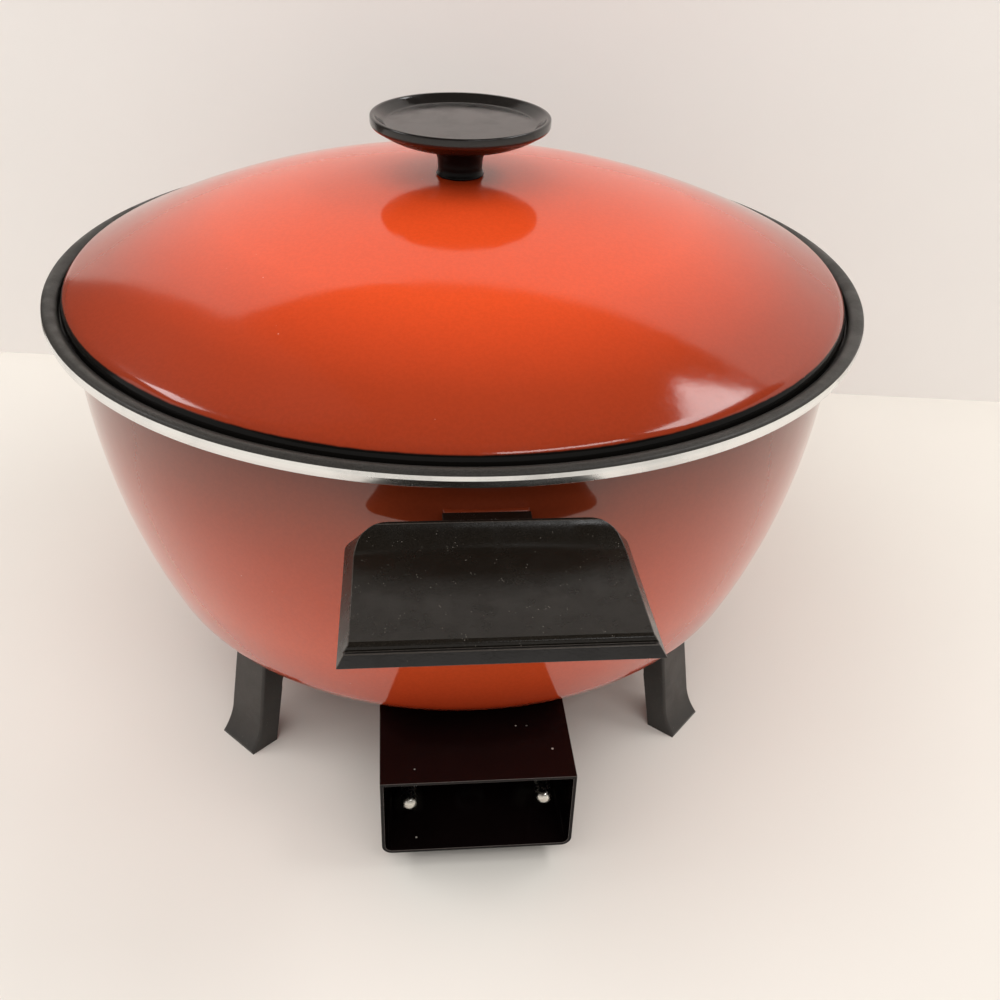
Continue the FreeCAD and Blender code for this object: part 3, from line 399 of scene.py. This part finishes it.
def phenolic(name, color, rough, speck=1.0, shine=0.5):
    """Moulded black resin: satin, finely speckled with pale dust, greyer where rubbed."""
    s = Surface(name, specular_ior_level=shine)
    grain = s.noise(3200.0, 2.0, 0.6)
    lighter = [c * 1.6 + 0.001 for c in color]
    base = s.mix(s.between(grain, 0.35, 0.7), color, lighter)
    rubbed = s.between(s.noise(55.0, 5.0, 0.65), 0.52, 0.75, 0.0, 0.55)
    base = s.mix(rubbed, base, [c * 1.9 + 0.0015 for c in color])
    chance = s.between(s.noise(300.0, 1.0), 0.62, 0.66)
    dust = s.math("MULTIPLY", s.math("MULTIPLY", s.specks(1300.0, 0.16), chance), 0.65 * speck)
    s.set("Base Color", s.mix(dust, base, (0.45, 0.40, 0.34)))
    s.set("Roughness", s.between(s.noise(120.0, 4.0, 0.6), 0.3, 0.7, rough - 0.06, rough + 0.09))
    s.set("Normal", s.bump(s.noise(1500.0, 3.0, 0.6), 0.00004, 0.5))
    return s.material


def black_enamel():
    """The hood's gloss black paint over sheet steel, chipped and dusty."""
    s = Surface("hood_black_enamel", specular_ior_level=0.18)
    cloud = s.between(s.noise(30.0, 3.0), 0.35, 0.65)
    tone = s.mix(cloud, (0.0022, 0.0014, 0.0014), (0.0045, 0.0022, 0.0022))
    chance = s.between(s.noise(70.0, 1.0), 0.66, 0.68)
    dust = s.math("MULTIPLY", s.specks(330.0, 0.14), chance)
    s.set("Base Color", s.mix(s.math("MULTIPLY", dust, 0.8), tone, (0.5, 0.46, 0.4)))
    s.set("Roughness", s.between(s.noise(35.0, 5.0, 0.65), 0.35, 0.75, 0.10, 0.26))
    s.set("Normal", s.bump(s.noise(240.0, 3.0, 0.55), 0.00006, 0.5))
    return s.material


def plated_steel(name, color, rough, scale=500.0):
    """Plated or drawn metal with cloudy tarnish and fine scratches."""
    s = Surface(name, metallic=1.0)
    cloud = s.between(s.noise(scale * 0.3, 5.0, 0.65), 0.35, 0.7)
    s.set("Base Color", s.mix(cloud, color, [c * 0.62 for c in color]))
    s.set("Roughness", s.between(s.noise(scale, 4.0, 0.6), 0.3, 0.7, rough - 0.07, rough + 0.12))
    rub = s.scratches(scale, 0.02, (1.0, 6.0, 1.0), (0.5, 0.3, 0.2))
    s.set("Normal", s.bump(rub, 0.00003, 0.4))
    return s.material


def heated_sheath():
    """The element's steel sheath, browned by heat in uneven bands."""
    s = Surface("element_sheath", metallic=1.0)
    bands = s.between(s.noise(45.0, 5.0, 0.65), 0.3, 0.7)
    stops = [(0.0, (0.09, 0.075, 0.065)), (0.5, (0.17, 0.13, 0.10)), (1.0, (0.10, 0.10, 0.12))]
    s.set("Base Color", s.ramp(bands, stops))
    s.set("Roughness", s.between(s.noise(300.0, 4.0), 0.3, 0.7, 0.38, 0.6))
    s.set("Normal", s.bump(s.noise(1200.0, 3.0), 0.00004, 0.6))
    return s.material


def ceramic():
    """Cream ceramic, dull, with brown stains."""
    s = Surface("insulator_ceramic", specular_ior_level=0.4)
    stain = s.between(s.noise(220.0, 4.0, 0.6), 0.4, 0.75)
    s.set("Base Color", s.mix(stain, (0.74, 0.70, 0.60), (0.50, 0.43, 0.33)))
    s.set("Roughness", s.between(s.noise(500.0, 3.0), 0.3, 0.7, 0.5, 0.68))
    s.set("Normal", s.bump(s.noise(2500.0, 2.0), 0.00003, 0.5))
    return s.material


LID_ENAMEL = lid_enamel()
BOWL_ENAMEL = bowl_enamel()
NON_STICK = non_stick()
BARE_EDGE = turned_aluminium("bare_edge", (0.93, 0.93, 0.92), 0.20)
LID_INSIDE = turned_aluminium("lid_inside", (0.62, 0.61, 0.60), 0.36)
HANDLE_RESIN = phenolic("handle_resin", (0.0062, 0.0048, 0.0034), 0.21, 0.6, 0.28)
KNOB_RESIN = phenolic("knob_resin", (0.0060, 0.0050, 0.0045), 0.14, 0.15)
# Darker, less glossy resin for the knob's underside: painted shade under the knob
KNOB_UNDER_SHADE = phenolic("knob_underside_shade", (0.0022, 0.0018, 0.0016), 0.30, 0.05, 0.14)
LEG_RESIN = phenolic("leg_resin", (0.019, 0.0165, 0.014), 0.38, 0.5)
# Lighter resin for the handles' bevelled edges: a painted highlight along the edges
HANDLE_EDGE_HIGHLIGHT = phenolic("handle_edge_highlight", (0.030, 0.025, 0.021), 0.22, 0.2)
# Glossier resin for the handles' front strip, a little darker as painted shade
HANDLE_NOSE = phenolic("handle_nose_resin", (0.0050, 0.0040, 0.0034), 0.13, 0.2)
# Lighter resin for the legs' bevelled edges: a painted highlight along the edges
LEG_EDGE_HIGHLIGHT = phenolic("leg_edge_highlight", (0.050, 0.045, 0.040), 0.30, 0.2)
HOOD_ENAMEL = black_enamel()
# Lighter finish for the hood's bevelled edges: a painted highlight along the sheet's edges
HOOD_EDGE_HIGHLIGHT = phenolic("hood_edge_highlight", (0.060, 0.050, 0.044), 0.22, 0.1)
ZINC = plated_steel("zinc_screws", (0.60, 0.60, 0.58), 0.34)
NICKEL = plated_steel("nickel_pins", (0.80, 0.77, 0.70), 0.2, 900.0)
BRACKET_STEEL = plated_steel("bracket_steel", (0.10, 0.095, 0.09), 0.42, 300.0)
CAST_ALUMINIUM = plated_steel("cast_aluminium", (0.58, 0.58, 0.57), 0.45, 350.0)
SHEATH = heated_sheath()
CERAMIC = ceramic()


def dress(node, material):
    """Give a carried-over node a finish of its own."""
    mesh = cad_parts[node].data
    mesh.materials.clear()
    mesh.materials.append(material)


def corner_join(radius, floor, curve):
    """Where the bowl's corner arc starts on the base and ends on the wall's curve."""
    drop = BOWL_TOP - floor - radius
    reach = curve - radius
    centre = BOWL_RADIUS - BOWL_CURVE + math.sqrt(reach**2 - drop**2)
    share = curve / reach
    join_x = BOWL_RADIUS - BOWL_CURVE + (centre - BOWL_RADIUS + BOWL_CURVE) * share
    return centre, join_x, BOWL_TOP - drop * share


def build_bowl():
    """The bowl: enamel outside, a bare turned edge, and dark lining from the flange inward."""
    outside, edge, lining = 0, 1, 2
    outer_x, join_x, join_z = corner_join(CORNER_RADIUS, BASE_LEVEL, BOWL_CURVE)
    inner_curve = BOWL_CURVE - BOWL_THICKNESS
    inner_corner = CORNER_RADIUS - BOWL_THICKNESS
    inner_x, inner_join_x, inner_join_z = corner_join(inner_corner, FLOOR_LEVEL, inner_curve)
    inner_radius = BOWL_RADIUS - BOWL_THICKNESS
    under = LEDGE_LEVEL - LEDGE_THICKNESS
    p = Profile(0, BASE_LEVEL)
    p.line(outer_x, BASE_LEVEL, outside, 8)
    p.arc(join_x, join_z, CORNER_RADIUS, 1, outside, 16)
    p.arc(BOWL_RADIUS, BOWL_TOP, BOWL_CURVE, 1, outside, 48)
    p.line(BOWL_RADIUS, under - 0.0015, outside, 3)
    p.arc(BOWL_RADIUS + 0.0012, under, 0.0015, -1, outside, 5)
    p.line(RIM_RADIUS - 0.0011, RIM_LEVEL - 0.0023, outside, 3)
    p.arc(RIM_RADIUS - 0.0005, RIM_LEVEL - 0.0019, 0.0006, 1, edge, 3)
    p.line(RIM_RADIUS - 0.0001, RIM_LEVEL - 0.0001, edge, 2)
    p.arc(RIM_RADIUS - 0.0001, RIM_LEVEL + 0.0001, 0.0003, 1, edge, 2)
    p.line(RIM_RADIUS - 0.0003, RIM_LEVEL + 0.0012, edge, 2)
    p.arc(RIM_RADIUS - 0.0007, RIM_LEVEL + 0.0019, 0.0009, 1, lining, 3)
    p.arc(RECESS_RADIUS, RIM_LEVEL + 0.0008, 0.0036, 1, lining, 14)
    p.line(RECESS_RADIUS, LEDGE_LEVEL + SHARP_EDGE, lining, 2)
    p.arc(RECESS_RADIUS - SHARP_EDGE, LEDGE_LEVEL, SHARP_EDGE, -1, lining, 3)
    p.line(inner_radius + 0.001, LEDGE_LEVEL, lining, 2)
    p.arc(inner_radius, LEDGE_LEVEL - 0.001, 0.001, 1, lining, 6)
    p.line(inner_radius, BOWL_TOP, lining, 3)
    p.arc(inner_join_x, inner_join_z, inner_curve, -1, lining, 32)
    p.arc(inner_x, FLOOR_LEVEL, inner_corner, -1, lining, 12)
    p.line(0, FLOOR_LEVEL, lining, 8)
    mesh = revolved("bowl", p, (BOWL_ENAMEL, BARE_EDGE, NON_STICK))
    new_piece("bowl", mesh, "pan", "enamel", "pan_bowl")


def build_bosses():
    """The two flat-faced bosses that the handle brackets are screwed to."""
    high = RIM_LEVEL - BOSS_DROP
    low = high - BOSS_HEIGHT
    near, far = BOWL_RADIUS - 0.002, BOWL_RADIUS + 0.0006
    for name, side in (("boss_front", -1), ("boss_rear", 1)):
        bm = bmesh.new()
        corners = []
        for y, spread in ((near, BOSS_SPREAD), (far, 0.0)):
            edge = BOSS_HALF_WIDTH + spread
            bottom, top = low - spread, high + spread
            for x, z in ((-edge, bottom), (edge, bottom), (edge, top), (-edge, top)):
                corners.append(bm.verts.new((x, y * side, z)))
        bm.faces.new(corners[:4])
        bm.faces.new(corners[4:])
        for i in range(4):
            j = (i + 1) % 4
            bm.faces.new((corners[i], corners[j], corners[4 + j], corners[4 + i]))
        mesh = to_mesh(bm, name, (BOWL_ENAMEL,))
        soften(new_piece(name, mesh, "pan", "enamel"), 0.0004)


def build_lid():
    """The domed lid with its rolled edge, enamelled outside and bare metal inside."""
    outside, inside = 0, 1
    center = LID_TOP - LID_CURVE
    roll_x = LID_RADIUS - LID_ROLL
    reach = LID_CURVE - LID_ROLL
    roll_z = LID_ROLL_LEVEL

    def join(curve):
        share = curve / reach
        return roll_x * share, center + (roll_z - center) * share

    inner = LID_CURVE - LID_SHEET
    inner_radius = LID_RADIUS - LID_SHEET
    p = Profile(0, LID_TOP)
    p.arc(*join(LID_CURVE), LID_CURVE, -1, outside, 64)
    # The lower part of this roll is painted near-black by the enamel: painted shade of the gap under the
    # lid's edge
    p.arc(LID_RADIUS, roll_z, LID_ROLL, -1, outside, 14)
    p.line(LID_RADIUS, LEDGE_LEVEL + SHARP_EDGE, outside, 2)
    p.arc(LID_RADIUS - SHARP_EDGE, LEDGE_LEVEL, SHARP_EDGE, -1, outside, 3)
    p.line(inner_radius + SHARP_EDGE, LEDGE_LEVEL, inside, 2)
    p.arc(inner_radius, LEDGE_LEVEL + SHARP_EDGE, SHARP_EDGE, -1, inside, 3)
    p.line(inner_radius, roll_z, inside, 2)
    p.arc(*join(inner), LID_ROLL - LID_SHEET, 1, inside, 10)
    p.arc(0, LID_TOP - LID_SHEET, inner, 1, inside, 48)
    mesh = revolved("lid", p, (LID_ENAMEL, LID_INSIDE))
    new_piece("lid", mesh, "lid", "enamel", "lid_shell")


def build_knob():
    """The dished knob: raised lip, sunken floor, rounded belly and waisted neck."""
    low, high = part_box("lid_knob")
    foot, top = low[2], high[2]
    edge = 0.0278
    neck = 0.0070
    sunk = 0.0024
    # The underside takes the darker finish, which is painted shade under the knob
    top_face, under = 0, 1
    p = Profile(0, foot)
    p.line(neck, foot, under, 2)
    p.arc(neck + 0.0005, foot + 0.0005, 0.0005, 1, under, 4)
    p.arc(neck, foot + 0.0030, 0.0030, -1, under, 8)
    p.line(neck, foot + 0.0040, under, 2)
    p.arc(0.0102, top - 0.0086, 0.0072, -1, under, 12)
    p.arc(edge - 0.0010, top - 0.0034, 0.0280, 1, under, 20)
    p.arc(edge, top - 0.0022, 0.0013, 1, top_face, 6)
    p.line(edge, top - 0.0006, top_face, 2)
    p.arc(edge - 0.0006, top, 0.0006, 1, top_face, 6)
    p.line(edge - 0.0010, top, top_face, 1)
    p.arc(edge - 0.0015, top - 0.0003, 0.0006, 1, top_face, 3)
    p.line(edge - 0.0040, top - 0.0021, top_face, 3)
    p.arc(edge - 0.0050, top - sunk, 0.0018, -1, top_face, 4)
    p.line(0, top - sunk, top_face, 10)
    mesh = revolved("knob", p, (KNOB_RESIN, KNOB_UNDER_SHADE), steps=160)
    new_piece("knob", mesh, "lid", "phenolic", "lid_knob")


def build_moulded(node, materials, width, slot):
    """The node's own form, its edges rounded and, if there is a second finish, drawn in it as a lighter
    painted highlight along the edges.
    """
    name = node + "_form"
    piece = new_piece(name, cad_copy(node, name, materials), "pan", slot, node)
    return soften(piece, width, edge_highlight_finish=1 if len(materials) > 1 else 0)


def build_handle(node):
    """A wing handle, with the step along its front edge in a glossier finish, darkened a little as
    painted shade.
    """
    nose = 2
    piece = build_moulded(node, (HANDLE_RESIN, HANDLE_EDGE_HIGHLIGHT, HANDLE_NOSE), 0.0006, "phenolic")
    for face in piece.data.polygons:
        if abs(face.center.y) > HANDLE_STEP and face.normal.z > -0.1:
            face.material_index = nose


def build_pins():
    """The two plated pins with their domed tips."""
    for name, side in (("terminal_pin_left", -1), ("terminal_pin_right", 1)):
        low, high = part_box(name)
        radius = (high[0] - low[0]) / 2
        length = high[1] - low[1]
        dome = radius * 0.85
        shoulder = high[1] + PIN_SHOULDER_REACH
        p = Profile(0, 0)
        p.line(PIN_SHANK_RADIUS, 0, steps=2)
        p.line(PIN_SHANK_RADIUS, shoulder, steps=4)
        p.line(radius, shoulder, steps=2)
        p.line(radius, length - dome, steps=6)
        p.arc(radius - dome, length, dome, 1, steps=10)
        p.line(0, length, steps=2)
        along = Matrix.Rotation(math.pi / 2, 4, "X")
        turn = Matrix.Translation((PIN_SIDE * side, high[1], PIN_LEVEL)) @ along
        mesh = revolved(name + "_form", p, (NICKEL,), steps=48, matrix=turn)
        new_piece(name + "_form", mesh, "pan", "nickel", name)


def build_stage():
    """A pale floor, a low pale wall behind, and dark sheets that only gloss shows."""
    left, right, top = BACKDROP_LEFT, BACKDROP_RIGHT, BACKDROP_HEIGHT
    near = BACKDROP_DISTANCE + left * BACKDROP_SLOPE
    far = BACKDROP_DISTANCE + right * BACKDROP_SLOPE
    wall = [(left, near, 0), (right, far, 0), (right, far, top), (left, near, top)]
    reach = FLOOR_REACH
    floor = [(-reach, -reach, 0), (reach, -reach, 0), (reach, reach, 0), (-reach, reach, 0)]
    stage_sheet("floor", floor, stage_paint("floor_paint", (0.775, 0.735, 0.675)))
    stage_sheet("wall", wall, stage_paint("wall_paint", (0.865, 0.830, 0.795)))
    # Dark sheets seen only in reflections, casting no shadow and blocking no light: painted dark
    # reflections of the room above and at the left
    dark_reflection = stage_paint("flag_dark_reflection", (0.12, 0.10, 0.085), one_sided=False)
    high = FLAG_LEVEL
    above = [(-3, -3, high), (3, -3, high), (3, 1.2, high), (-3, 1.2, high)]
    begin = near + 0.01
    beside = [(left, begin, 0), (left, begin, high), (-2.5, 0.62, high), (-2.5, 0.62, 0)]
    for name, corners in (("overhead_flag", above), ("left_flag", beside)):
        sheet = stage_sheet(name, corners, dark_reflection)
        sheet.visible_camera = False
        sheet.visible_diffuse = False
        sheet.visible_shadow = False


def stage_sheet(name, corners, material):
    """One flat sheet of the stage."""
    mesh = bpy.data.meshes.new(name)
    mesh.from_pydata(corners, [], [tuple(range(len(corners)))])
    mesh.materials.append(material)
    sheet = link(name, mesh)
    return sheet


def stage_paint(name, color, one_sided=True):
    """A plain paint. A one-sided one is clear when it is seen from behind."""
    s = Surface(name, roughness=0.6, specular_ior_level=0.25)
    cloud = s.between(s.noise(2.2, 4.0, 0.6), 0.3, 0.7)
    s.set("Base Color", s.mix(cloud, color, [c * 0.965 for c in color]))
    if one_sided:
        behind = s.node("NewGeometry").outputs["Backfacing"]
        clear = s.node("BsdfTransparent").outputs["BSDF"]
        both = s.node("MixShader", {"Fac": behind, 1: s.shader.outputs["BSDF"], 2: clear})
        s.tree.links.new(both.outputs["Shader"], s.output.inputs["Surface"])
    return s.material


def build_camera():
    """The photograph's own camera, from its heading, pitch and roll."""
    data = bpy.data.cameras.new("camera")
    data.sensor_width = 36.0
    data.lens = FOCAL_PIXELS / FRAME_PIXELS * data.sensor_width
    data.clip_start = 0.01
    camera = link("camera", data)
    flat = Vector((math.sin(CAMERA_HEADING), math.cos(CAMERA_HEADING), 0))
    forward = flat * math.cos(CAMERA_PITCH) - Vector((0, 0, math.sin(CAMERA_PITCH)))
    right = Vector((math.cos(CAMERA_HEADING), -math.sin(CAMERA_HEADING), 0))
    up = right.cross(forward)
    rolled = right * math.cos(CAMERA_ROLL) + up * math.sin(CAMERA_ROLL)
    upward = up * math.cos(CAMERA_ROLL) - right * math.sin(CAMERA_ROLL)
    place = Vector((-math.sin(CAMERA_AZIMUTH), -math.cos(CAMERA_AZIMUTH), 0)) * CAMERA_DISTANCE
    place.z = CAMERA_LEVEL
    camera.matrix_world = Matrix((
        (rolled.x, upward.x, -forward.x, place.x),
        (rolled.y, upward.y, -forward.y, place.y),
        (rolled.z, upward.z, -forward.z, place.z),
        (0, 0, 0, 1),
    ))
    bpy.context.scene.camera = camera


def area_light(name, place, target, width, height, power, mirrored=True):
    """A rectangular lamp aimed at a point. One that isn't mirrored shows in no reflection."""
    data = bpy.data.lights.new(name, "AREA")
    data.shape = "RECTANGLE"
    data.size = width
    data.size_y = height
    data.energy = power
    light = link(name, data)
    light.location = place
    light.visible_glossy = mirrored
    aim = Vector(target) - Vector(place)
    light.rotation_euler = aim.to_track_quat("-Z", "Y").to_euler()


def build_lights():
    """A softbox for the level, and three narrow lamps for the highlights in the photograph."""
    area_light("overhead_softbox", (-0.45, -0.6, 1.4), (0, -0.1, 0.05), 1.8, 1.5, 14.0, mirrored=False)
    area_light("window_right", (0.82, 0.02, 1.07), (0.06, -0.10, 0.15), 0.8, 0.26, 4.6)
    area_light("window_left", (-0.94, 0.21, 0.92), (-0.07, -0.10, 0.145), 0.55, 0.20, 2.6)
    area_light("front_right", (0.45, -0.85, 1.05), (0, -0.12, 0.14), 0.7, 0.14, 2.0)


def build_world():
    """Pale all round. The camera, glass and metal see the same pale background."""
    world = bpy.data.worlds.new("studio")
    bpy.context.scene.world = world
    world.use_nodes = True
    tree = world.node_tree
    tree.nodes.clear()

    def background(color, strength):
        node = tree.nodes.new("ShaderNodeBackground")
        node.inputs["Color"].default_value = color
        node.inputs["Strength"].default_value = strength
        return node.outputs["Background"]

    def either(a, b):
        node = tree.nodes.new("ShaderNodeMath")
        node.operation = "ADD"
        node.use_clamp = True
        tree.links.new(a, node.inputs[0])
        tree.links.new(b, node.inputs[1])
        return node.outputs[0]

    lit = background((0.95, 0.94, 0.93, 1.0), 0.62)
    seen = background((0.80, 0.77, 0.74, 1.0), 0.9)
    path = tree.nodes.new("ShaderNodeLightPath").outputs
    shown = either(either(path["Is Camera Ray"], path["Is Glossy Ray"]), path["Is Transmission Ray"])
    mix = tree.nodes.new("ShaderNodeMixShader")
    output = tree.nodes.new("ShaderNodeOutputWorld")
    tree.links.new(shown, mix.inputs["Fac"])
    tree.links.new(lit, mix.inputs[1])
    tree.links.new(seen, mix.inputs[2])
    tree.links.new(mix.outputs["Shader"], output.inputs["Surface"])


build_camera()
build_bowl()
build_bosses()
build_lid()
build_knob()
for handle in ("handle_front", "handle_rear"):
    build_handle(handle)
for leg in ("leg_front_left", "leg_front_right", "leg_rear_left", "leg_rear_right"):
    build_moulded(leg, (LEG_RESIN, LEG_EDGE_HIGHLIGHT), 0.0007, "phenolic")
build_moulded("probe_guard", (HOOD_ENAMEL, HOOD_EDGE_HIGHLIGHT), 0.0003, "black_steel")
for bracket in ("handle_bracket_front", "handle_bracket_rear"):
    build_moulded(bracket, (BRACKET_STEEL,), 0.0003, "black_steel")
build_pins()
dress("terminal_plate", HOOD_ENAMEL)
for node in ("knob_screw", "knob_washer", "bracket_screws", "handle_screws", "leg_screws",
             "clip_screws", "guard_screws", "element_clip_left", "element_clip_right",
             "element_clip_rear"):
    dress(node, ZINC)
dress("heating_element", SHEATH)
for node in ("insulator_left", "insulator_right"):
    dress(node, CERAMIC)
for node in ("sensor_tube", "sensor_block"):
    dress(node, CAST_ALUMINIUM)
build_stage()
build_lights()
build_world()
bpy.context.scene.view_settings.view_transform = "Standard"
